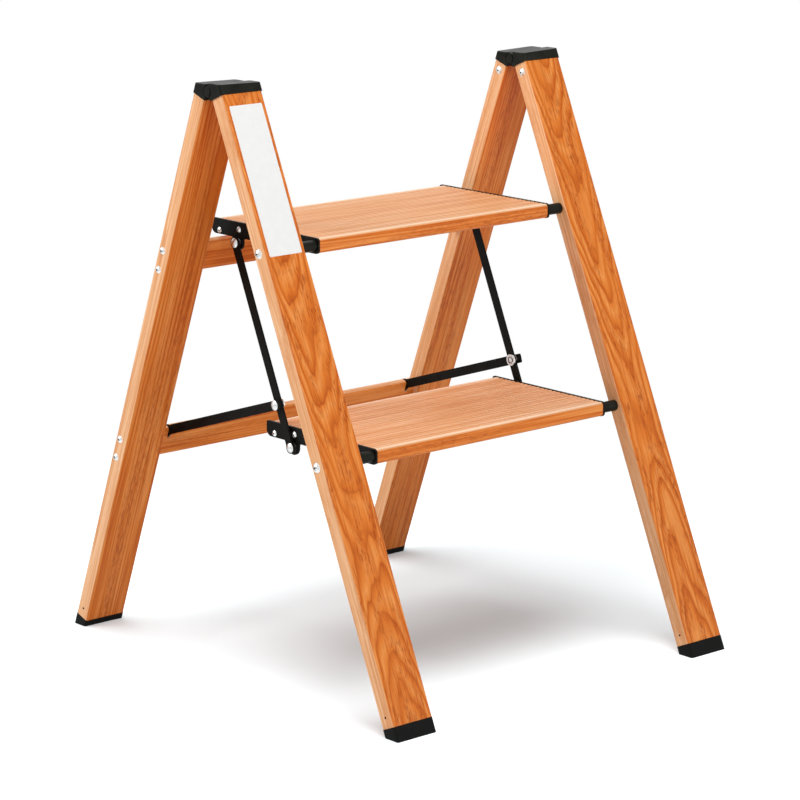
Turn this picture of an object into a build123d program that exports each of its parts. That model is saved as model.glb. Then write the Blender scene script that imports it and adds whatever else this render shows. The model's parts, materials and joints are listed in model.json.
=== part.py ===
from build123d import *
from math import cos, radians, sin
import os

# Folding step stool with two treads, drawn open. Millimetres, front towards -Y, up is +Z.
# The origin is on the floor in the middle of the stance. Each leg frame is drawn hanging straight
# down from the hinge axis and is then swung out to its lean.

# Stance
hinge_height = 603.7
overall_width = 460.0
front_lean_angle = 23.5
rear_lean_angle = 20.5
hinge_offset = 2.5

# Leg tubes
leg_width = 50.0
leg_thickness = 18.0
leg_corner = 1.8
leg_wall = 1.2

# Hinge caps and pins
cap_seam = 10.0
front_cap_rise = 8.2
rear_cap_rise = 6.8
cap_tilt_angle = 1.4
cap_lip = 1.5
cap_chamfer = 2.4
cap_corner = 1.2
cap_groove = 1.2
cap_edge = 1.0
cap_trough = 6.2
cap_trough_corner = 2.5
cap_plug = 24.0
cap_rivet_drop = 19.5
knuckle_count = 5
knuckle_radius = 6.0
knuckle_clearance = 0.4
knuckle_boss = 0.4
knuckle_ring_depth = 1.0
knuckle_ring_width = 1.1
pin_radius = 2.5
pin_cover = 2.0

# Boots
boot_lip = 0.3
boot_edge = 0.8
front_boot_height = 8.2
rear_boot_height = 7.5
boot_plug = 30.0
boot_pin_height = 10.8
boot_pin_radius = 1.1
boot_pin_rise = 0.2
boot_pin_length = 9.0

# Treads and their pivots on the front legs
upper_pivot_drop = 170.5
tread_spacing = 218.0
pivot_inset = 7.5
tread_depth = 166.0
tread_thickness = 15.0
tread_wall = 1.4
tread_top_wall = 2.2
tread_bays = 3
nose_reach = 6.5
nose_radius = 3.5
rear_radius = 2.5
groove_pitch = 6.3
groove_width = 3.6
groove_depth = 0.8
bolt_radius = 3.0
bolt_head_radius = 5.3
bolt_head_rise = 2.8
nut_radius = 4.5
nut_length = 5.0
bush_radius = 5.8
bush_length = 20.3

# End plates
plate_thickness = 2.5
plate_proud = 0.5
plate_rear_reach = 4.5
plate_rear_radius = 2.5
plate_heel_radius = 7.0
tab_radius = 8.0
tab_fillet = 3.0
plate_rivet_radius = 1.6
plate_rivet_head_radius = 3.2
plate_rivet_head_rise = 1.4
plate_rivet_length = 9.0
plate_rivet_hole = 0.9
rear_rivet_inset = 8.0
rear_rivet_z = -4.0
mid_rivet_lead = 1.6
mid_rivet_z = 0.4
rivet_port_wall = 1.4

# Links: flat bars whose eyes hang behind and below the tread pivots
eye_y = 121.0
eye_z = -13.0
bar_thickness = 2.5
link_width = 9.5
link_eye_radius = 6.0
link_standoff = 2.2
eye_pin_radius = 2.5
eye_shoulder_radius = 4.6
eye_head_radius = 5.0
eye_head_rise = 2.0
eye_tail_radius = 4.4
eye_tail_length = 1.6

# Stays: flat bars from the links back to the lower crossbar
stay_width = 10.0
stay_eye_radius = 6.5
stay_tail = 8.3
stay_tail_corner = 2.0
stay_gap = 2.6
stud_gap = 0.3
stud_ring_radius = 6.2
stud_ring_inner = 4.0
stud_ring_length = 1.5
stud_ring_depth = 0.9
stay_rivet_head_radius = 5.2
stay_rivet_head_rise = 2.0

# Crossbars and their screws
crossbar_height = 34.0
crossbar_thickness = 9.0
crossbar_corner = 3.2
crossbar_wall = 1.3
crossbar_inset = 11.25
upper_crossbar_drop = 198.0
lower_crossbar_drop = 424.3
screw_spread = 22.0
screw_radius = 2.4
screw_grip = 27.0
screw_head_radius = 4.15
screw_head_rise = 2.4
screw_port_wall = 1.5
stay_slot_clearance = 0.6

# Small rivets in the caps
cap_rivet_radius = 2.0
cap_rivet_head_radius = 4.4
cap_rivet_head_rise = 1.6
cap_rivet_length = 10.0
cap_rivet_hole = 1.1

# Cross recess in screw and bolt heads, as shares of the head
recess_span_share = 0.95
recess_width_share = 0.2
recess_depth_share = 0.55

# Clearances, and how far a cutting tool runs past the surface it cuts
fit_gap = 0.1
running_gap = 0.05
side_gap = 0.2
cut_overrun = 1.0

# Places across the width
outer_x = overall_width / 2
inner_x = outer_x - leg_width
leg_x = outer_x - leg_width / 2
plate_x = inner_x - bush_length - side_gap
tread_half_width = plate_x - plate_thickness
link_x = plate_x + link_standoff
link_outer_x = link_x + bar_thickness
stay_x = link_outer_x + stay_gap
stay_outer_x = stay_x + bar_thickness

# Places through the thickness of the leg frames, in their hanging position
pivot_y = -(hinge_offset + pivot_inset)
crossbar_y = hinge_offset + crossbar_inset
fold_angle = front_lean_angle + rear_lean_angle
tread_fold = 90 - front_lean_angle


def leg_mid(side):
    """Middle of a leg's thickness; side is -1 for the front legs and +1 for the rear legs."""
    return side * (hinge_offset + leg_thickness / 2)


def lean_of(side):
    """Turn about X that swings a hanging leg out to its lean."""
    return -front_lean_angle if side < 0 else rear_lean_angle


def drop_to_floor(y, side):
    """Hanging z at which a line of constant y reaches the floor once the leg leans."""
    angle = radians(lean_of(side))
    return -(hinge_height + y * sin(angle)) / cos(angle)


def foot_reach(side):
    """Distance from the hinge axis to the outermost edge of a boot, along Y."""
    y = side * (hinge_offset + leg_thickness + boot_lip)
    return Vector(0, y, drop_to_floor(y, side)).rotate(Axis.X, lean_of(side)).Y


hinge_y = -(foot_reach(-1) + foot_reach(1)) / 2
hinge = Vector(0, hinge_y, hinge_height)


def place(side):
    """Location that swings a hanging piece of the front or rear frame into its open position."""
    return Pos(0, hinge_y, hinge_height) * Rot(lean_of(side), 0, 0)


def frame_point(y, z, side):
    """Side-view point of a leg frame in the open position."""
    return hinge + Vector(0, y, z).rotate(Axis.X, lean_of(side))


# Pivots in the side view, and the end plates' rivets about the tread's pivot
upper_pivot = frame_point(pivot_y, -upper_pivot_drop, -1)
lower_pivot = frame_point(pivot_y, -upper_pivot_drop - tread_spacing, -1)
eye = Vector(0, eye_y, eye_z)
rear_rivet_y = tread_depth - nose_reach - rear_rivet_inset
mid_rivet_y = eye_y - mid_rivet_lead
stay_drop = lower_crossbar_drop - screw_spread / 2
stay_anchor = frame_point(crossbar_y, -stay_drop, 1)

# The stay keeps its length only if it is as long with the stool open as with the stool folded.
# That fixes where it meets the link, measured down the link from the upper eye.
anchor_folded = hinge + (stay_anchor - hinge).rotate(Axis.X, -fold_angle)
reach_open = stay_anchor - eye
reach_folded = anchor_folded - eye.rotate(Axis.X, tread_fold)
reach_change = reach_folded - reach_open
down_link = (lower_pivot - upper_pivot).normalized()
half_difference = (reach_folded.length**2 - reach_open.length**2) / 2
stud_drop = (half_difference - upper_pivot.dot(reach_change)) / down_link.dot(reach_change)
stay_front = upper_pivot + down_link * stud_drop + eye
stay_length = (stay_front - stay_anchor).length
stay_rise = Vector(0, -1, 0).get_angle(stay_front - stay_anchor)
folded_front = upper_pivot + down_link * stud_drop + eye.rotate(Axis.X, tread_fold)
stay_turn = (stay_front - stay_anchor).get_angle(folded_front - anchor_folded) - fold_angle


def rod(radius, start, end, y=0.0, z=0.0):
    """Round bar along X."""
    return Pos((start + end) / 2, y, z) * Rot(0, 90, 0) * Cylinder(radius, abs(end - start))


def dome(radius, rise, x, y, z, facing):
    """Domed head on the plane of constant x; facing is +1 or -1 along X."""
    ball_radius = (radius**2 + rise**2) / (2 * rise)
    ball = Pos(0, 0, rise - ball_radius) * Sphere(ball_radius)
    return Pos(x, y, z) * Rot(0, 90 * facing, 0) * split(ball, bisect_by=Plane.XY, keep=Keep.TOP)


def cross_dome(radius, rise, x, y, z, facing):
    """Domed head with a cross recess."""
    head = dome(radius, rise, x, y, z, facing)
    span = radius * recess_span_share
    depth = rise * recess_depth_share
    slot = Box(2 * depth, radius * recess_width_share, span)
    crown = Pos(x + facing * rise, y, z)
    return head - crown * slot - crown * Rot(90, 0, 0) * slot


def pop_rivet(radius, length, head_radius, head_rise, hole, x, y, z, facing):
    """Blind rivet: a shank behind the plane of constant x, a domed head before it, a hole up the middle."""
    rivet = rod(radius, x - facing * length, x, y, z)
    rivet += dome(head_radius, head_rise, x, y, z, facing)
    return rivet - rod(hole, x - facing * length / 2, x + facing * (head_rise + cut_overrun), y, z)


def leg_block(side, grow, top, bottom):
    """Upright bar with the outline of a leg, grown or shrunk all round."""
    outline = RectangleRounded(leg_width + 2 * grow, leg_thickness + 2 * grow, leg_corner + grow)
    return extrude(Pos(leg_x, leg_mid(side), bottom) * outline, top - bottom)


def below_floor(side):
    """Hanging z that lies well below the floor across the whole leg."""
    return drop_to_floor(leg_mid(side), side) - leg_width


def above(shape, height):
    """The part of a shape above a level plane."""
    return split(shape, bisect_by=Plane((0, 0, height)), keep=Keep.TOP)


def boot_top(side):
    """Hanging z of a boot's upper rim."""
    height = front_boot_height if side < 0 else rear_boot_height
    return drop_to_floor(side * hinge_offset, side) + height


def boot_pin_z(side):
    """Hanging z of the pin that holds a boot's plug."""
    return boot_top(side) + boot_pin_height


def boot_pin_faces():
    """Places just outside the two narrow faces of a right-hand leg, where its boot pins go in."""
    return [inner_x - cut_overrun, outer_x + cut_overrun]


def screw_rows():
    """Hanging z of each row of crossbar screws."""
    return [-drop + shift for drop in (upper_crossbar_drop, lower_crossbar_drop)
            for shift in (screw_spread / 2, -screw_spread / 2)]


def leg(side):
    """Right-hand leg tube with the holes for its fasteners."""
    tube = leg_block(side, 0, -cap_seam, boot_top(side))
    tube -= leg_block(side, -leg_wall, 0, below_floor(side))
    tube -= rod(cap_rivet_radius + fit_gap, inner_x - cut_overrun, leg_x, leg_mid(side), -cap_rivet_drop)
    for x in boot_pin_faces():
        tube -= rod(boot_pin_radius + fit_gap, leg_x, x, leg_mid(side), boot_pin_z(side))
    if side < 0:
        for drop in (upper_pivot_drop, upper_pivot_drop + tread_spacing):
            tube -= rod(bolt_radius + fit_gap, inner_x - cut_overrun, outer_x + cut_overrun, pivot_y, -drop)
    else:
        for z in screw_rows():
            tube -= rod(screw_radius + fit_gap, inner_x - cut_overrun, outer_x + cut_overrun, crossbar_y, z)
    return place(side) * tube


def boot(side):
    """Right-hand boot: a foot almost flush with the tube, a level sole and a plug inside the tube."""
    foot = leg_block(side, boot_lip, boot_top(side), below_floor(side))
    foot += leg_block(side, -leg_wall - fit_gap, boot_top(side) + boot_plug, boot_top(side))
    for x in boot_pin_faces():
        foot -= rod(boot_pin_radius + fit_gap, leg_x, x, leg_mid(side), boot_pin_z(side))
    foot = above(place(side) * foot, 0)
    return fillet(foot.edges().group_by(Axis.Z)[0], boot_edge)


def boot_pins(side):
    """Right-hand pins through both narrow faces of a leg into its boot's plug."""
    pins = Part()
    for x, facing in zip((inner_x, outer_x), (-1, 1)):
        start = x - facing * boot_pin_length
        pins += rod(boot_pin_radius, start, x + facing * boot_pin_rise, leg_mid(side), boot_pin_z(side))
    return place(side) * pins


def knuckle_span(index):
    """Start and end of one share of the hinge's width, at the right-hand legs."""
    start = inner_x - cap_lip
    pitch = (leg_width + 2 * cap_lip) / knuckle_count
    return start + index * pitch, start + (index + 1) * pitch


def knuckle(index):
    """One barrel of the hinge, with a low boss where it closes the end of the hinge."""
    start, end = knuckle_span(index)
    start += -knuckle_boss if index == 0 else side_gap
    end += knuckle_boss if index == knuckle_count - 1 else -side_gap
    return rod(knuckle_radius, start, end, hinge_y, hinge_height)


def cap_body(side):
    """Right-hand hinge cap before its knuckles: a block on the leg, chamfered away from the other cap."""
    outline = Rectangle(leg_width + 2 * cap_lip, leg_thickness + 2 * cap_lip)
    outline = chamfer(outline.vertices().sort_by(Axis.Y, reverse=side > 0)[:2], cap_chamfer)
    outline = fillet(outline.vertices().sort_by(Axis.Y, reverse=side > 0)[:4], cap_corner)
    cap = extrude(Pos(leg_x, leg_mid(side), -cap_seam) * outline, leg_width)
    plug = leg_block(side, -leg_wall - fit_gap, -cap_seam, -cap_seam - cap_plug)
    plug -= rod(cap_rivet_radius + fit_gap, inner_x - cut_overrun, leg_x, leg_mid(side), -cap_rivet_drop)
    cap = place(side) * (cap + plug)
    tilt = radians(cap_tilt_angle)
    rise = front_cap_rise if side < 0 else rear_cap_rise
    top = Plane((leg_x, 0, hinge_height + rise), z_dir=(-sin(tilt), 0, cos(tilt)))
    cap = split(cap, bisect_by=top, keep=Keep.BOTTOM)
    seam = Plane((0, hinge_y + side * cap_groove / 2, 0), z_dir=(0, side, 0))
    cap = split(cap, bisect_by=seam, keep=Keep.TOP)
    trough = Box(2 * leg_width, cap_trough, leg_width)
    cap -= Pos(leg_x, hinge_y, hinge_height + leg_width / 2) * trough
    trough_ends = cap.edges().filter_by(Axis.Z).sort_by(Axis.Z)[-2:]
    cap = fillet(trough_ends.sort_by(Axis.X)[0], cap_trough_corner)
    return fillet(cap.faces().sort_by(Axis.Z)[-1].edges(), cap_edge)


def knuckle_ring(x, facing):
    """Groove round an end knuckle, in the end face of the hinge."""
    start = x - facing * knuckle_ring_depth
    end = x + facing * cut_overrun
    ring_radius = knuckle_radius + knuckle_clearance
    ring = rod(ring_radius, start, end, hinge_y, hinge_height)
    return ring - rod(ring_radius - knuckle_ring_width, start, end, hinge_y, hinge_height)


def hinge_cap(side):
    """Right-hand hinge cap; the rear cap owns the end knuckles and the two sorts alternate."""
    cap = cap_body(side)
    own = 0 if side > 0 else 1
    for index in range(1 - own, knuckle_count, 2):
        cap -= rod(knuckle_radius + knuckle_clearance, *knuckle_span(index), hinge_y, hinge_height)
    for index in range(own, knuckle_count, 2):
        cap += knuckle(index)
    if side > 0:
        cap -= knuckle_ring(inner_x - cap_lip, -1)
        cap -= knuckle_ring(outer_x + cap_lip, 1)
    return cap - rod(pin_radius + running_gap, *pin_span(), hinge_y, hinge_height)


def pin_span():
    """Start and end of the right-hand hinge pin, covered at both ends of the hinge."""
    return inner_x - cap_lip + pin_cover, outer_x + cap_lip - pin_cover


def hinge_pin():
    """Right-hand hinge pin."""
    start, end = pin_span()
    return rod(pin_radius, start + side_gap, end - side_gap, hinge_y, hinge_height)


def cap_rivet(side):
    """Right-hand rivet through the inner narrow face into the cap's plug."""
    rivet = pop_rivet(cap_rivet_radius, cap_rivet_length, cap_rivet_head_radius, cap_rivet_head_rise,
                      cap_rivet_hole, inner_x, leg_mid(side), -cap_rivet_drop, -1)
    return place(side) * rivet


def crossbar(drop):
    """Hollow bar between the rear legs, with a round port for each screw."""
    outline = RectangleRounded(crossbar_thickness, crossbar_height, crossbar_corner)
    port = screw_radius + screw_port_wall
    hollow_width = crossbar_thickness - 2 * crossbar_wall
    outline -= Rectangle(hollow_width, screw_spread - 2 * port)
    for z in (screw_spread / 2, -screw_spread / 2):
        outline -= Pos(0, z) * Circle(screw_radius + running_gap)
    bar = extrude(Plane.YZ * outline, inner_x, both=True)
    return Pos(0, crossbar_y, -drop) * bar


def slotted_crossbar():
    """Lower crossbar, sawn from its top edge so that the stays can turn on the upper screws."""
    bar = crossbar(lower_crossbar_drop)
    slot_width = bar_thickness + 2 * stay_slot_clearance
    slot_bottom = -stay_drop - stay_eye_radius - stay_slot_clearance
    slot_top = -lower_crossbar_drop + crossbar_height
    saw = Box(slot_width, 2 * crossbar_thickness, slot_top - slot_bottom)
    for x in (-1, 1):
        middle = x * (stay_x + bar_thickness / 2)
        bar -= Pos(middle, crossbar_y, (slot_top + slot_bottom) / 2) * saw
    return bar


def crossbar_screw(z):
    """Right-hand screw through a rear leg into a crossbar's port."""
    shank = rod(screw_radius, inner_x - screw_grip, outer_x, crossbar_y, z)
    head = cross_dome(screw_head_radius, screw_head_rise, outer_x, crossbar_y, z, 1)
    return place(1) * (shank + head)


def pivot_bolt(pivot):
    """Right-hand bolt that carries a tread: head outside the leg, thread end inside the tread."""
    y, z = pivot.Y, pivot.Z
    shank = rod(bolt_radius, tread_half_width - nut_length - side_gap, outer_x, y, z)
    head = cross_dome(bolt_head_radius, bolt_head_rise, 0, 0, 0, 1)
    return shank + Pos(outer_x, y, z) * Rot(-front_lean_angle, 0, 0) * head


def lock_nut(pivot):
    """Right-hand nut inside the tread, on the end of its bolt."""
    hexagon = RegularPolygon(nut_radius, 6) - Circle(bolt_radius + running_gap)
    end = tread_half_width - side_gap
    return Pos(end, pivot.Y, pivot.Z) * Rot(0, -90, 0) * extrude(hexagon, nut_length)


def bush(pivot):
    """Right-hand spacer sleeve between a leg and a tread's end plate."""
    sleeve = rod(bush_radius, plate_x + side_gap, inner_x, pivot.Y, pivot.Z)
    return sleeve - rod(bolt_radius + running_gap, plate_x, inner_x, pivot.Y, pivot.Z)


def tread_outline():
    """Side outline of a tread about its pivot: a round nose and a softer rear edge."""
    outline = Pos(tread_depth / 2 - nose_reach, 0) * Rectangle(tread_depth, tread_thickness)
    outline = fillet(outline.vertices().group_by(Axis.X)[0], nose_radius)
    return fillet(outline.vertices().group_by(Axis.X)[-1], rear_radius)


def tread_cells():
    """Hollows of a tread, divided by ribs; the rearmost rib carries the middle rivet port."""
    front = tread_wall - nose_reach
    rear = tread_depth - nose_reach - tread_wall
    bottom = tread_wall - tread_thickness / 2
    height = tread_thickness - tread_wall - tread_top_wall
    bay = (mid_rivet_y - front) / tread_bays
    ribs = [front + bay * count for count in range(1, tread_bays + 1)]
    edges = [front - tread_wall / 2] + ribs + [rear + tread_wall / 2]
    cells = Sketch()
    for start, end in zip(edges, edges[1:]):
        width = end - start - tread_wall
        corner = nose_radius - tread_wall if start < front else tread_wall
        middle = Pos((start + end) / 2, bottom + height / 2)
        cells += middle * RectangleRounded(width, height, corner)
    return cells


def rivet_places():
    """Side-view places of an end plate's rivets about the tread's pivot."""
    return [(rear_rivet_y, rear_rivet_z), (mid_rivet_y, mid_rivet_z)]


def tread_board():
    """Hollow extruded tread with ridges along its length, about its pivot."""
    section = tread_outline() - tread_cells()
    for y, z in rivet_places():
        section += Pos(y, z) * Circle(plate_rivet_radius + rivet_port_wall) & tread_outline()
        section -= Pos(y, z) * Circle(plate_rivet_radius + running_gap)
    top = tread_thickness / 2
    scoop = (groove_width**2 / 4 + groove_depth**2) / (2 * groove_depth)
    first = nose_radius - nose_reach + groove_pitch / 2
    last = tread_depth - nose_reach - rear_radius - groove_pitch / 2
    count = int((last - first) / groove_pitch) + 1
    for index in range(count):
        section -= Pos(first + index * groove_pitch, top - groove_depth + scoop) * Circle(scoop)
    return extrude(Plane.YZ * section, tread_half_width, both=True)


def plate_outline():
    """Side outline of an end plate: it stands proud of the tread all round and reaches behind it."""
    length = tread_depth + plate_proud + plate_rear_reach
    height = tread_thickness + 2 * plate_proud
    outline = Pos(length / 2 - nose_reach - plate_proud, 0) * Rectangle(length, height)
    outline = fillet(outline.vertices().group_by(Axis.X)[0], nose_radius + plate_proud)
    rear = outline.vertices().group_by(Axis.X)[-1].sort_by(Axis.Y)
    outline = fillet(rear[0], plate_heel_radius)
    return fillet(outline.vertices().sort_by(Axis.Y)[-2:].sort_by(Axis.X)[-1], plate_rear_radius)


def end_plate():
    """Right-hand steel plate on a tread's end, with a tab that hangs down to the link's eye."""
    bottom = -tread_thickness / 2 - plate_proud
    tab_top = bottom + tab_fillet
    outline = plate_outline()
    outline += Pos(eye_y, (tab_top + eye_z) / 2) * Rectangle(2 * tab_radius, tab_top - eye_z)
    for turn in (-1, 1):
        corner = Pos(eye_y + turn * (tab_radius + tab_fillet / 2), bottom - tab_fillet / 2)
        outline += corner * Rectangle(tab_fillet, tab_fillet)
        outline -= Pos(eye_y + turn * (tab_radius + tab_fillet), bottom - tab_fillet) * Circle(tab_fillet)
    outline += Pos(eye_y, eye_z) * Circle(tab_radius)
    outline -= Circle(bolt_radius + running_gap)
    outline -= Pos(eye_y, eye_z) * Circle(eye_pin_radius + running_gap)
    for y, z in rivet_places():
        outline -= Pos(y, z) * Circle(plate_rivet_radius + running_gap)
    return Pos(tread_half_width, 0, 0) * extrude(Plane.YZ * outline, plate_thickness)


def plate_rivet(y, z):
    """Right-hand rivet that holds an end plate to the tread's port."""
    return pop_rivet(plate_rivet_radius, plate_rivet_length, plate_rivet_head_radius, plate_rivet_head_rise,
                     plate_rivet_hole, plate_x, y, z, 1)


def eye_rivet():
    """Right-hand shouldered rivet through the tab: tail, shoulder, link journal and domed head."""
    head_x = link_outer_x + running_gap
    pin = rod(eye_pin_radius, tread_half_width - eye_tail_length, head_x, eye_y, eye_z)
    tail = rod(eye_tail_radius, tread_half_width - eye_tail_length, tread_half_width, eye_y, eye_z)
    shoulder = rod(eye_shoulder_radius, plate_x, link_x - side_gap, eye_y, eye_z)
    return pin + tail + shoulder + dome(eye_head_radius, eye_head_rise, head_x, eye_y, eye_z, 1)


def link():
    """Right-hand link with round ends, drawn from its lower eye up to its upper eye."""
    outline = Pos(0, tread_spacing / 2) * Rectangle(link_width, tread_spacing)
    outline += Circle(link_eye_radius)
    outline += Pos(0, tread_spacing) * Circle(link_eye_radius)
    for drop in (0, tread_spacing - stud_drop, tread_spacing):
        outline -= Pos(0, drop) * Circle(eye_pin_radius + running_gap)
    bar = extrude(Plane.YZ * outline, bar_thickness)
    lower_eye = lower_pivot + eye
    return Pos(link_x, lower_eye.Y, lower_eye.Z) * Rot(-front_lean_angle, 0, 0) * bar


def link_stud():
    """Right-hand stud on the link where the stay meets it: rolled ring, journal and spacer."""
    y, z = stay_front.Y, stay_front.Z
    ring_end = link_x - stud_ring_length
    stud = rod(stud_ring_radius, ring_end, link_x, y, z)
    stud -= rod(stud_ring_inner, ring_end - cut_overrun, ring_end + stud_ring_depth, y, z)
    stud += rod(eye_pin_radius, ring_end, stay_x - stud_gap, y, z)
    return stud + rod(eye_shoulder_radius, link_outer_x, stay_x - stud_gap, y, z)


def stay():
    """Right-hand stay, drawn from its round end on the crossbar forward to its square end at the link."""
    reach = stay_length + stay_tail
    outline = Pos(0, reach / 2) * Rectangle(stay_width, reach)
    outline = fillet(outline.vertices().group_by(Axis.Y)[-1], stay_tail_corner)
    outline += Circle(stay_eye_radius)
    outline -= Circle(screw_radius + running_gap)
    outline -= Pos(0, stay_length) * Circle(eye_pin_radius + running_gap)
    bar = extrude(Plane.YZ * outline, bar_thickness)
    return Pos(stay_x, stay_anchor.Y, stay_anchor.Z) * Rot(90 - stay_rise, 0, 0) * bar


def stay_rivet():
    """Right-hand rivet head at the front of the stay."""
    y, z = stay_front.Y, stay_front.Z
    shank = rod(eye_pin_radius, stay_x, stay_outer_x, y, z)
    return shank + dome(stay_rivet_head_radius, stay_rivet_head_rise, stay_outer_x, y, z, 1)


def both_sides(piece):
    """A right-hand piece and its mirror image on the left."""
    return [mirror(piece, about=Plane.YZ), piece]


def save(name, *pieces):
    """Write one node: a single solid, or a group of separate solids."""
    solids = [solid for piece in pieces for solid in piece.solids()]
    export_step(solids[0] if len(solids) == 1 else Compound(solids), f"parts/{name}.step")


def save_pair(stem, piece):
    """Write the left and right nodes of a mirrored piece."""
    left, right = both_sides(piece)
    save(f"{stem}_left", left)
    save(f"{stem}_right", right)


def save_group(name, pieces):
    """Write one node that holds each piece and its mirror image."""
    save(name, *[copy for piece in pieces for copy in both_sides(piece)])


os.makedirs("parts", exist_ok=True)

# Leg frames
for frame, side in (("front", -1), ("rear", 1)):
    save_pair(f"{frame}_leg", leg(side))
    save_pair(f"{frame}_hinge_cap", hinge_cap(side))
    save_pair(f"{frame}_boot", boot(side))
    save_group(f"{frame}_cap_rivets", [cap_rivet(side)])
    save_group(f"{frame}_boot_pins", [boot_pins(side)])
save_group("hinge_pins", [hinge_pin()])
save("upper_crossbar", place(1) * crossbar(upper_crossbar_drop))
save("lower_crossbar", place(1) * slotted_crossbar())
save_group("upper_crossbar_screws", [crossbar_screw(z) for z in screw_rows()[:2]])
save_group("lower_crossbar_screws", [crossbar_screw(z) for z in screw_rows()[2:]])

# Treads and their pivots
for tread, pivot in (("upper", upper_pivot), ("lower", lower_pivot)):
    at_pivot = Pos(0, pivot.Y, pivot.Z)
    save(f"{tread}_tread", at_pivot * tread_board())
    save_pair(f"{tread}_end_plate", at_pivot * end_plate())
    save_group(f"{tread}_plate_rivets", [at_pivot * plate_rivet(y, z) for y, z in rivet_places()])
    save_pair(f"{tread}_eye_rivet", at_pivot * eye_rivet())
    save_group(f"{tread}_pivot_bolts", [pivot_bolt(pivot)])
    save_group(f"{tread}_lock_nuts", [lock_nut(pivot)])
    save_group(f"{tread}_bushes", [bush(pivot)])

# Links and stays
save_pair("link", link())
save_pair("link_stud", link_stud())
save_pair("stay", stay())
save_pair("stay_rivet", stay_rivet())

print("hinge", hinge, "fold", fold_angle)
print("upper pivot", upper_pivot, "lower pivot", lower_pivot, "tread fold", tread_fold)
print("upper eye", upper_pivot + eye, "stay anchor", stay_anchor, "stay front", stay_front)
print("stay length", stay_length, "stay turn on the rear frame", stay_turn)
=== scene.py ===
import json
import bmesh
import bpy
from math import atan2, cos, pi, radians, sin
from mathutils import Matrix, Vector


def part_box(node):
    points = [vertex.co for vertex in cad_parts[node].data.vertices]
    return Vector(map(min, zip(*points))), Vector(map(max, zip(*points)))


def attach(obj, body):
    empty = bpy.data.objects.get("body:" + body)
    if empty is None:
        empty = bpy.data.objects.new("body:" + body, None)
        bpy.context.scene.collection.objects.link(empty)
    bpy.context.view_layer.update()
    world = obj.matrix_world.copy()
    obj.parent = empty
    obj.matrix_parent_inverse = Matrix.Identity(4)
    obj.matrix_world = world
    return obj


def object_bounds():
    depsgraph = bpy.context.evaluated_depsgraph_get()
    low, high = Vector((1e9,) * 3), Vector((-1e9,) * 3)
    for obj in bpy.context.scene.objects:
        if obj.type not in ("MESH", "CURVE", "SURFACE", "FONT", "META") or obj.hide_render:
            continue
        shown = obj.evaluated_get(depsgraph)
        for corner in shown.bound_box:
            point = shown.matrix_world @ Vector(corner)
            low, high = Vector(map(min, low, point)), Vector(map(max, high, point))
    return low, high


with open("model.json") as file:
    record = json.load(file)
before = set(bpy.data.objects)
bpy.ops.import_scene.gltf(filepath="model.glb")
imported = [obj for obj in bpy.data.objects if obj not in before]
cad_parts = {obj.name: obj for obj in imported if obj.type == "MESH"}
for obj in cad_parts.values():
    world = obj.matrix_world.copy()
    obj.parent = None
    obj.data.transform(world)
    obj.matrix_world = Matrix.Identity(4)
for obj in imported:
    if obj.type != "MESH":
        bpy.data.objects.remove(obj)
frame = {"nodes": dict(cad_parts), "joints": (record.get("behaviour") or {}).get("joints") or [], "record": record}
cad_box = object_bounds()
nodes = frame["nodes"]
joints = {joint["name"]: joint for joint in frame["joints"]}

# Hinge that the two leg frames hang from, and how far each frame leans from upright
hinge = Vector(joints["rear_fold"]["pos_m"])
upper_pivot = Vector(joints["upper_tread_fold"]["pos_m"])
lower_pivot = Vector(joints["lower_tread_fold"]["pos_m"])
front_lean = atan2(upper_pivot.y - lower_pivot.y, upper_pivot.z - lower_pivot.z)
rear_lean = radians(joints["rear_fold"]["range_deg"][1]) - front_lean

# Turns that lay the grain of a piece along Z
along_front_leg = (front_lean, 0, 0)
along_rear_leg = (-rear_lean, 0, 0)
along_width = (0, pi / 2, 0)

# Colours of the wood-grain film, in linear light: broad faces, then the narrow faces and tread tops, which are
# paler by a painted sheen, then a painted highlight along the treads' front and rear edges
film_dark = (0.30, 0.045, 0.004)
film_seam = (0.38, 0.066, 0.006)
film_line = (0.52, 0.105, 0.009)
film_middle = (0.70, 0.195, 0.026)
film_pale = (0.80, 0.310, 0.080)
sheen_line = (0.65, 0.265, 0.098)
sheen_middle = (0.81, 0.430, 0.210)
sheen_pale = (0.88, 0.550, 0.330)
edge_highlight = (0.95, 0.690, 0.480)

# Prints with arched and with straight growth lines: the colour in the middle of a line, how fine the stains
# are across and along the grain, and the largest shares of the stain and pore colours
arched_print = {"seam": film_seam, "stain_fineness": (70, 70, 15), "stain_share": 0.5, "pore_share": 0.65}
straight_print = {"seam": film_line, "stain_fineness": (70, 70, 3), "stain_share": 0.4, "pore_share": 0.42}

# Growth lines that the whole range of a noise is worth, in straight prints and in the drift of arched ones
straight_lines = 6.0
drift_lines = 3.8

# Distance below the hinge at which each front leg's growth lines arch apart, in metres
arch_drops = {"front_leg_left": 0.478, "front_leg_right": 0.405}

# Arched growth lines: how many there are in a metre along a leg, the factor on the distance across it before
# that is squared, and how far from their centre the arches stay flat, in metres
arch_lines_along = 20
arch_spread = 60
arch_flat = 0.03

# How far the print moves on from one piece to the next, so that no two pieces carry the same print
print_shift = (1.7, 0.9, 2.3)

# Painted highlight: a paler strip along the front and rear edges of a tread: its depth and where it has faded out,
# in metres, and the share of its colour
edge_highlight_depth = 0.006
edge_highlight_fade = 0.010
edge_highlight_strength = 0.85

# Share of the line colour painted as shade on the walls of a tread's grooves
groove_shade_strength = 0.45

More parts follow.
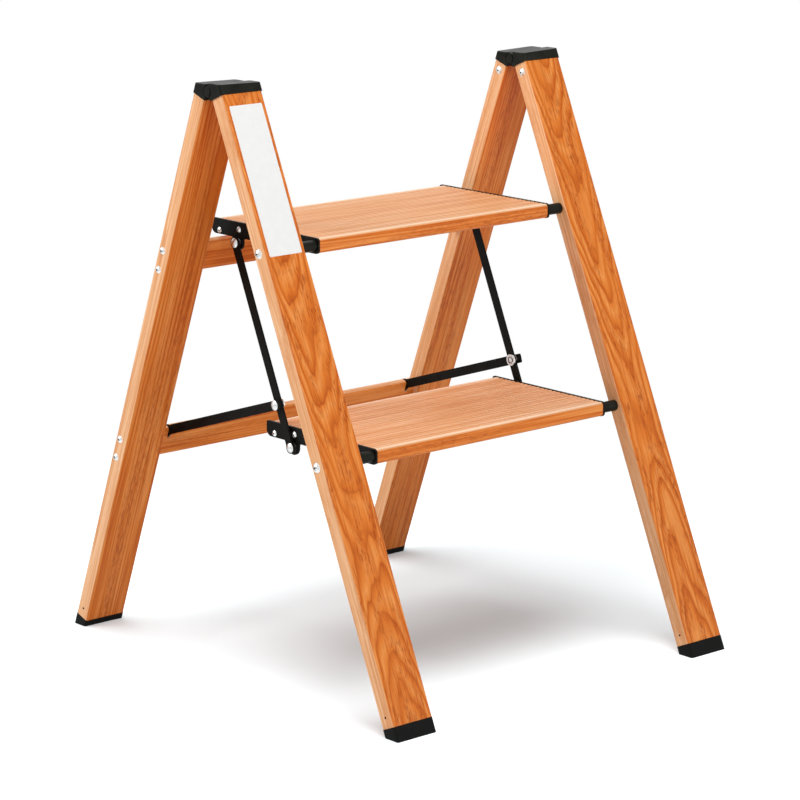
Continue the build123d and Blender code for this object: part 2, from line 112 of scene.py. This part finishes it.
# Dark and light colours of the other finishes, in linear light
coat_dark = (0.0025, 0.0024, 0.002)
coat_light = (0.006, 0.0057, 0.0045)
plastic_dark = (0.006, 0.006, 0.0045)
plastic_light = (0.014, 0.0142, 0.0105)
rubber_dark = (0.0025, 0.0025, 0.0024)
rubber_dust = (0.008, 0.0077, 0.0072)
zinc_dull = (0.60, 0.60, 0.59)
zinc_bright = (0.78, 0.78, 0.77)
vinyl_grey = (0.76, 0.76, 0.75)
vinyl_white = (0.79, 0.79, 0.78)

# Painted shade in the recesses of zinc-plated heads: its colour, and how far away a recess's walls count, in
# metres
recess_shade = (0.07, 0.07, 0.06)
recess_shade_reach = 0.003

# Part of a noise's range over which a finish goes from smooth to rough
gloss_range = (0.3, 0.7)

# Colour sockets of a Mix node, by index, because its sockets for numbers have the same names
mix_first = 6
mix_second = 7
mix_result = 2

# Label on the left front leg, in metres, and the steps in which its corners are rounded
label_width = 0.041
label_height = 0.155
label_drop = 0.0222
label_corner = 0.0015
label_thickness = 0.00012
label_corner_steps = 5

# Studio floor: its radius and the distances between which it fades to white, in metres, its number of sides,
# and its colours in linear light, for the light that it throws back and where it is seen directly
floor_reach = 6.0
floor_fade = (0.5, 1.1)
floor_sides = 64
floor_bounce = (0.38, 0.38, 0.38, 1)
floor_seen = (0.570, 0.60, 0.612, 1)

# Strength of the white world as soft light all round, and where it is seen directly
world_light = 0.25
world_seen = 1.0

# Camera at the photograph's viewing angle: place in metres, turn, focal length and sensor in millimetres
camera_place = (-2.2025, -2.50982, 1.02949)
camera_turn = (radians(77.011), 0, radians(-41.353))
camera_lens = 146.37
camera_sensor = 36.0


class Finish:
    """A material, with short calls for the nodes that its detail is made of."""

    def __init__(self, name, roughness, metallic=0.0, specular=0.5, turn=(0, 0, 0), shift=(0, 0, 0)):
        self.material = bpy.data.materials.new(name)
        self.material.use_nodes = True
        self.nodes = self.material.node_tree.nodes
        self.links = self.material.node_tree.links
        self.surface = self.nodes["Principled BSDF"]
        self.surface.inputs["Roughness"].default_value = roughness
        self.surface.inputs["Metallic"].default_value = metallic
        self.surface.inputs["Specular IOR Level"].default_value = specular
        self.places = self.nodes.new("ShaderNodeTexCoord")
        turned = self.nodes.new("ShaderNodeMapping")
        self.links.new(self.places.outputs["Object"], turned.inputs["Vector"])
        turned.inputs["Rotation"].default_value = turn
        self.turned = turned.outputs["Vector"]
        self.shift = shift

    def fill(self, socket, value):
        """Link an output to a socket, or write a number or a colour there."""
        if isinstance(value, bpy.types.NodeSocket):
            self.links.new(value, socket)
        elif isinstance(value, tuple):
            socket.default_value = (*value, 1)
        else:
            socket.default_value = value

    def noise(self, fineness, detail=2.0, roughness=0.5, distortion=0.0):
        """Noise over the turned piece, with a fineness along each axis."""
        scaled = self.nodes.new("ShaderNodeMapping")
        self.links.new(self.turned, scaled.inputs["Vector"])
        scaled.inputs["Scale"].default_value = fineness
        scaled.inputs["Location"].default_value = self.shift
        node = self.nodes.new("ShaderNodeTexNoise")
        self.links.new(scaled.outputs["Vector"], node.inputs["Vector"])
        node.inputs["Scale"].default_value = 1.0
        node.inputs["Detail"].default_value = detail
        node.inputs["Roughness"].default_value = roughness
        node.inputs["Distortion"].default_value = distortion
        return node.outputs["Fac"]

    def maths(self, operation, first, second=0.0):
        """One sum on numbers or outputs; some operations take no second value."""
        node = self.nodes.new("ShaderNodeMath")
        node.operation = operation
        self.fill(node.inputs[0], first)
        self.fill(node.inputs[1], second)
        return node.outputs[0]

    def times(self, first, second):
        """Two values multiplied."""
        return self.maths("MULTIPLY", first, second)

    def span(self, value, over, gives=(0.0, 1.0)):
        """A value taken from one range to another, and held inside it."""
        node = self.nodes.new("ShaderNodeMapRange")
        self.links.new(value, node.inputs["Value"])
        for end, level in zip(("From Min", "From Max", "To Min", "To Max"), (*over, *gives)):
            node.inputs[end].default_value = level
        return node.outputs["Result"]

    def ramp(self, value, *stops):
        """Colours spread over a value; each stop is a place and a colour."""
        node = self.nodes.new("ShaderNodeValToRGB")
        self.links.new(value, node.inputs["Fac"])
        band = node.color_ramp
        while len(band.elements) < len(stops):
            band.elements.new(0.5)
        for element, (place, colour) in zip(band.elements, stops):
            element.position = place
            element.color = (*colour, 1)
        return node.outputs["Color"]

    def mix(self, share, first, second):
        """Two colours mixed, with a share of the second."""
        node = self.nodes.new("ShaderNodeMix")
        node.data_type = "RGBA"
        self.fill(node.inputs["Factor"], share)
        self.fill(node.inputs[mix_first], first)
        self.fill(node.inputs[mix_second], second)
        return node.outputs[mix_result]

    def axes(self, vector):
        """The three parts of a vector."""
        node = self.nodes.new("ShaderNodeSeparateXYZ")
        self.links.new(vector, node.inputs["Vector"])
        return node.outputs

    def facing(self):
        """The three parts of the direction in which a face looks."""
        return self.axes(self.places.outputs["Normal"])

    def recess_shade_share(self, reach):
        """Share of painted shade: 1 deep in a piece's own recesses, 0 on its open faces."""
        node = self.nodes.new("ShaderNodeAmbientOcclusion")
        node.only_local = True
        node.inputs["Distance"].default_value = reach
        return self.span(node.outputs["AO"], over=(0.45, 0.85), gives=(1.0, 0.0))

    def edge_highlight_share(self, middle, half_depth):
        """Share of the painted highlight on an upper face beside its front and rear edges, 0 elsewhere."""
        upward = self.span(self.facing()["Z"], over=(0.7, 0.9))
        across = self.maths("SUBTRACT", self.axes(self.places.outputs["Object"])["Y"], middle)
        reach = self.maths("ABSOLUTE", across)
        strip = (half_depth - edge_highlight_fade, half_depth - edge_highlight_depth)
        return self.times(upward, self.span(reach, over=strip, gives=(0.0, edge_highlight_strength)))

    def groove_shade_share(self):
        """Share of the line colour, as painted shade, on the sloped walls of grooves in an upper face, 0
        elsewhere.
        """
        facing = self.facing()
        upward = self.span(facing["Z"], over=(0.4, 0.6))
        sloped = self.maths("ABSOLUTE", facing["Y"])
        return self.times(upward, self.span(sloped, over=(0.15, 0.6), gives=(0.0, groove_shade_strength)))

    def sheen_share(self):
        """Share of the painted sheen: 1 on faces that look sideways or up, 0 on the others."""
        facing = self.facing()
        sideways = self.span(self.maths("ABSOLUTE", facing["X"]), over=(0.7, 0.95))
        return self.maths("MAXIMUM", sideways, self.span(facing["Z"], over=(0.42, 0.6)))

    def paint(self, colour):
        """Colour of the surface."""
        self.links.new(colour, self.surface.inputs["Base Color"])

    def gloss(self, pattern, smooth, rough):
        """Roughness of the surface, which follows a pattern."""
        level = self.span(pattern, over=gloss_range, gives=(smooth, rough))
        self.links.new(level, self.surface.inputs["Roughness"])

    def bump(self, height, strength, distance):
        """Fine relief of the surface."""
        node = self.nodes.new("ShaderNodeBump")
        self.links.new(height, node.inputs["Height"])
        node.inputs["Strength"].default_value = strength
        node.inputs["Distance"].default_value = distance
        self.links.new(node.outputs["Normal"], self.surface.inputs["Normal"])


def straight_rings(film):
    """Growth lines that run straight along the grain."""
    return film.times(film.noise(fineness=(100, 100, 1.6)), straight_lines)


def arched_rings(film, centre):
    """Growth lines in arches that open towards both ends of a leg, away from a centre on its middle line."""
    place = film.axes(film.turned)
    across = film.times(film.maths("SUBTRACT", place["X"], centre.x), arch_spread)
    drop = film.maths("SUBTRACT", place["Z"], centre.z)
    along = film.maths("SQRT", film.maths("ADD", film.times(drop, drop), arch_flat ** 2))
    arch = film.maths("SUBTRACT", film.times(across, across), film.times(along, arch_lines_along))
    drift = film.noise(fineness=(34, 34, 9), detail=2.5, roughness=0.45)
    return film.maths("ADD", arch, film.times(drift, drift_lines))


def wood_film(name, turn, shift, centre=None, tread=None):
    """Printed wood-grain film on aluminium: growth lines, stains, fibres and pores along the grain, with a painted
    sheen on faces that look sideways or up, and on a tread painted shade on its groove walls and a painted
    highlight along its front and rear edges.
    """
    film = Finish(name, roughness=0.42, specular=0.15, turn=turn, shift=shift)
    style = arched_print if centre else straight_print
    straight = straight_rings(film)
    broad = arched_rings(film, centre) if centre else straight
    rings = film.ramp(film.maths("FRACT", broad), (0.0, film_middle), (0.3, film_pale), (0.65, film_middle),
                      (0.86, film_line), (0.93, style["seam"]), (1.0, film_middle))
    # Painted sheen: paler colours for the lines, base and fibres on faces that look sideways or up
    plain = film.ramp(film.maths("FRACT", straight), (0.0, sheen_pale), (0.5, sheen_middle), (0.9, sheen_line),
                      (1.0, sheen_middle))
    soft = film.sheen_share()
    base = film.mix(soft, film_middle, sheen_middle)
    fibre = film.mix(soft, film_line, sheen_line)
    tone = film.noise(fineness=(40, 40, 9), detail=3.0)
    stain = film.noise(fineness=style["stain_fineness"], detail=3.0, roughness=0.6)
    streak = film.noise(fineness=(400, 400, 10), detail=3.0, roughness=0.6)
    pores = film.noise(fineness=(520, 520, 110), distortion=0.6)
    speckle = film.times(film.span(stain, over=(0.45, 0.62), gives=(0.1, 1.0)),
                         film.span(pores, over=(0.49, 0.61), gives=(0.0, style["pore_share"])))
    colour = film.mix(soft, rings, plain)
    colour = film.mix(film.span(tone, over=(0.4, 0.65), gives=(0.05, 0.55)), colour, base)
    colour = film.mix(film.span(stain, over=(0.5, 0.7), gives=(0.0, style["stain_share"])), colour, fibre)
    colour = film.mix(film.span(streak, over=(0.46, 0.68), gives=(0.0, 0.6)), colour, fibre)
    colour = film.mix(speckle, colour, film.mix(soft, film_dark, fibre))
    if tread:
        front, rear = (corner[1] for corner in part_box(tread))
        # Painted shade on the walls of the grooves
        colour = film.mix(film.groove_shade_share(), colour, sheen_line)
        # Painted highlight along the front and rear edges
        colour = film.mix(film.edge_highlight_share((front + rear) / 2, (rear - front) / 2), colour, edge_highlight)
    film.paint(colour)
    film.gloss(streak, smooth=0.36, rough=0.48)
    film.bump(streak, strength=0.06, distance=0.0002)
    return film.material


def black_coat():
    """Satin black powder coat on the steel plates, links, stays and boot pins."""
    coat = Finish("black_powder_coat", roughness=0.45, specular=0.07)
    peel = coat.noise(fineness=(700, 700, 700))
    scuff = coat.noise(fineness=(35, 35, 35), detail=4.0, roughness=0.65)
    coat.paint(coat.ramp(scuff, (0.35, coat_dark), (0.7, coat_light)))
    coat.gloss(scuff, smooth=0.36, rough=0.5)
    coat.bump(peel, strength=0.12, distance=0.0002)
    return coat.material


def moulded_plastic():
    """Black moulded plastic of the hinge caps and bushes."""
    plastic = Finish("black_moulded_plastic", roughness=0.36, specular=0.07)
    grain = plastic.noise(fineness=(1600, 1600, 1600))
    rub = plastic.noise(fineness=(60, 60, 60), detail=3.0)
    plastic.paint(plastic.ramp(rub, (0.35, plastic_dark), (0.7, plastic_light)))
    plastic.gloss(rub, smooth=0.28, rough=0.40)
    plastic.bump(grain, strength=0.1, distance=0.0001)
    return plastic.material


def boot_rubber():
    """Matt black rubber of the boots, with a little dust."""
    rubber = Finish("black_boot_rubber", roughness=0.65, specular=0.08)
    grain = rubber.noise(fineness=(900, 900, 900), detail=3.0)
    dust = rubber.noise(fineness=(90, 90, 140), detail=4.0, roughness=0.6)
    rubber.paint(rubber.ramp(dust, (0.4, rubber_dark), (0.75, rubber_dust)))
    rubber.gloss(dust, smooth=0.55, rough=0.75)
    rubber.bump(grain, strength=0.2, distance=0.0002)
    return rubber.material


def zinc_plate():
    """Bright zinc plate on screws, bolts and rivets, with painted shade in their recesses."""
    zinc = Finish("bright_zinc", roughness=0.3, metallic=1.0)
    scratch = zinc.noise(fineness=(500, 500, 500), detail=3.0)
    unshaded_zinc = zinc.ramp(scratch, (0.35, zinc_dull), (0.7, zinc_bright))
    # Painted shade in the recesses
    zinc.paint(zinc.mix(zinc.recess_shade_share(recess_shade_reach), unshaded_zinc, recess_shade))
    zinc.gloss(scratch, smooth=0.24, rough=0.38)
    zinc.bump(scratch, strength=0.08, distance=0.0001)
    return zinc.material


def label_vinyl():
    """Plain white vinyl of the blank label."""
    vinyl = Finish("white_label_vinyl", roughness=0.45)
    grain = vinyl.noise(fineness=(120, 120, 120), detail=3.0)
    vinyl.paint(vinyl.ramp(grain, (0.3, vinyl_grey), (0.7, vinyl_white)))
    vinyl.bump(grain, strength=0.05, distance=0.0002)
    return vinyl.material


def give(node, material):
    """One material on a whole CAD node."""
    slots = nodes[node].data.materials
    slots.clear()
    slots.append(material)


def arch_centre(node, turn):
    """Point of a leg that its arched growth lines open away from, in turned coordinates."""
    low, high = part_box(node)
    turned = Matrix.Rotation(turn[0], 4, "X") @ hinge
    return Vector(((low[0] + high[0]) / 2, 0, turned.z - arch_drops[node]))


def dress():
    """Finishes on every CAD node, by the record's material slots."""
    turns = {"front_leg": along_front_leg, "rear_leg": along_rear_leg}
    plain = {"black_steel": black_coat(), "black_plastic": moulded_plastic(), "black_rubber": boot_rubber(),
             "zinc_steel": zinc_plate()}
    for index, part in enumerate(frame["record"]["subparts"]):
        node = part["node"]
        if part["material_slot"] in plain:
            give(node, plain[part["material_slot"]])
            continue
        shift = tuple(index * step for step in print_shift)
        turn = next((turns[stem] for stem in turns if node.startswith(stem)), along_width)
        centre = arch_centre(node, turn) if node in arch_drops else None
        tread = node if node.endswith("tread") else None
        give(node, wood_film(f"film_{node}", turn, shift, centre, tread))


def added(name, data):
    """A new object in the scene."""
    thing = bpy.data.objects.new(name, data)
    bpy.context.scene.collection.objects.link(thing)
    return thing


def added_mesh(name, mesh, material):
    """A new object of one material in the scene; the mesh that it is made from is freed."""
    data = bpy.data.meshes.new(name)
    mesh.to_mesh(data)
    mesh.free()
    data.materials.append(material)
    return added(name, data)


def label_outline():
    """Corner points of the label's rounded outline, around its middle."""
    outline = []
    for turn, (side_x, side_z) in enumerate(((1, 1), (-1, 1), (-1, -1), (1, -1))):
        centre_x = side_x * (label_width / 2 - label_corner)
        centre_z = side_z * (label_height / 2 - label_corner)
        for step in range(label_corner_steps + 1):
            angle = (turn + step / label_corner_steps) * pi / 2
            outline.append((centre_x + label_corner * cos(angle), centre_z + label_corner * sin(angle)))
    return outline


def label():
    """Blank label on the broad front face of the left front leg."""
    from_leg = Matrix.Translation(hinge) @ Matrix.Rotation(-front_lean, 4, "X")
    to_leg = from_leg.inverted()
    points = [to_leg @ vertex.co for vertex in nodes["front_leg_left"].data.vertices]
    face_y = min(point.y for point in points)
    middle_x = (min(point.x for point in points) + max(point.x for point in points)) / 2
    mesh = bmesh.new()
    back = mesh.faces.new([mesh.verts.new((x, 0, z)) for x, z in label_outline()])
    front = bmesh.ops.extrude_face_region(mesh, geom=[back])["geom"]
    for element in front:
        if isinstance(element, bmesh.types.BMVert):
            element.co.y -= label_thickness
    bmesh.ops.recalc_face_normals(mesh, faces=mesh.faces)
    piece = added_mesh("blank_label", mesh, label_vinyl())
    centre = Vector((middle_x, face_y, -label_drop - label_height / 2))
    piece.matrix_world = from_leg @ Matrix.Translation(centre)
    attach(piece, "front_frame")
    return piece


def lit_group(name, things):
    """Objects that a lamp keeps its light on."""
    group = bpy.data.collections.new(name)
    for thing in things:
        group.objects.link(thing)
    return group


def soft_box(name, lit, place, width, power, shadow=True):
    """Square lamp that looks at the middle of the object, as a key light or as a fill without a shadow."""
    lamp = bpy.data.lights.new(name, "AREA")
    lamp.size = width
    lamp.energy = power
    lamp.use_shadow = shadow
    box = added(name, lamp)
    box.location = place
    middle = (Vector(cad_box[0]) + Vector(cad_box[1])) / 2
    box.rotation_euler = (middle - Vector(place)).to_track_quat("-Z", "Y").to_euler()
    box.light_linking.receiver_collection = lit


def seen_directly(tree):
    """1 for rays in which a surface is seen: from the camera, from gloss and through glass."""
    path = tree.nodes.new("ShaderNodeLightPath")
    total = path.outputs["Is Camera Ray"]
    for name in ("Is Glossy Ray", "Is Transmission Ray"):
        larger = tree.nodes.new("ShaderNodeMath")
        larger.operation = "MAXIMUM"
        tree.links.new(total, larger.inputs[0])
        tree.links.new(path.outputs[name], larger.inputs[1])
        total = larger.outputs[0]
    return total


def white_world():
    """White studio: plain soft light all round, and white where it is seen directly."""
    world = bpy.data.worlds.new("studio")
    bpy.context.scene.world = world
    world.use_nodes = True
    tree = world.node_tree
    level = tree.nodes.new("ShaderNodeMapRange")
    tree.links.new(seen_directly(tree), level.inputs["Value"])
    level.inputs["To Min"].default_value = world_light
    level.inputs["To Max"].default_value = world_seen
    background = tree.nodes["Background"]
    background.inputs["Color"].default_value = (1, 1, 1, 1)
    tree.links.new(level.outputs["Result"], background.inputs["Strength"])


def floor_white():
    """Matt white that takes the soft shadow near the object and fades to plain white further out."""
    material = bpy.data.materials.new("studio_floor")
    material.use_nodes = True
    tree = material.node_tree
    tree.nodes.clear()
    places = tree.nodes.new("ShaderNodeTexCoord")
    distance = tree.nodes.new("ShaderNodeVectorMath")
    distance.operation = "LENGTH"
    tree.links.new(places.outputs["Object"], distance.inputs[0])
    fade = tree.nodes.new("ShaderNodeMapRange")
    fade.interpolation_type = "SMOOTHSTEP"
    tree.links.new(distance.outputs["Value"], fade.inputs["Value"])
    fade.inputs["From Min"].default_value = floor_fade[0]
    fade.inputs["From Max"].default_value = floor_fade[1]
    tint = tree.nodes.new("ShaderNodeMix")
    tint.data_type = "RGBA"
    tree.links.new(seen_directly(tree), tint.inputs["Factor"])
    tint.inputs[mix_first].default_value = floor_bounce
    tint.inputs[mix_second].default_value = floor_seen
    matt = tree.nodes.new("ShaderNodeBsdfDiffuse")
    tree.links.new(tint.outputs[mix_result], matt.inputs["Color"])
    white = tree.nodes.new("ShaderNodeEmission")
    white.inputs["Strength"].default_value = 1.0
    far = tree.nodes.new("ShaderNodeMixShader")
    tree.links.new(fade.outputs["Result"], far.inputs["Fac"])
    tree.links.new(matt.outputs["BSDF"], far.inputs[1])
    tree.links.new(white.outputs["Emission"], far.inputs[2])
    output = tree.nodes.new("ShaderNodeOutputMaterial")
    tree.links.new(far.outputs["Shader"], output.inputs["Surface"])
    return material


def white_floor():
    """Round studio floor."""
    mesh = bmesh.new()
    bmesh.ops.create_circle(mesh, cap_ends=True, segments=floor_sides, radius=floor_reach)
    floor = added_mesh("studio_floor", mesh, floor_white())
    return floor


def lamps(floor, stool):
    """Lamps that light the floor and the stool separately."""
    on_floor = lit_group("lit_floor", [floor])
    soft_box("floor_key", on_floor, place=(-0.35, -0.15, 2.2), width=1.5, power=98)
    soft_box("floor_fill", on_floor, place=(0, 0, 2.6), width=1.0, power=36, shadow=False)
    on_stool = lit_group("lit_stool", stool)
    soft_box("front_key", on_stool, place=(-0.5, -1.8, 1.7), width=1.0, power=27.5)
    soft_box("left_key", on_stool, place=(-1.9, 1.3, 1.6), width=1.0, power=39)
    soft_box("top_fill", on_stool, place=(-0.1, -0.2, 2.4), width=1.2, power=10, shadow=False)
    soft_box("right_fill", on_stool, place=(0.9, -1.3, 0.35), width=0.6, power=1.6, shadow=False)
    soft_box("rear_rim", on_stool, place=(1.3, 0.64, 1.7), width=0.5, power=4, shadow=False)


def studio(stool):
    """World, floor, lamps and camera."""
    white_world()
    lamps(white_floor(), stool)
    lens = bpy.data.cameras.new("camera")
    lens.lens = camera_lens
    lens.sensor_width = camera_sensor
    camera = added("camera", lens)
    camera.location = camera_place
    camera.rotation_euler = camera_turn
    bpy.context.scene.camera = camera
    bpy.context.scene.view_settings.view_transform = "Standard"


dress()
studio([*nodes.values(), label()])
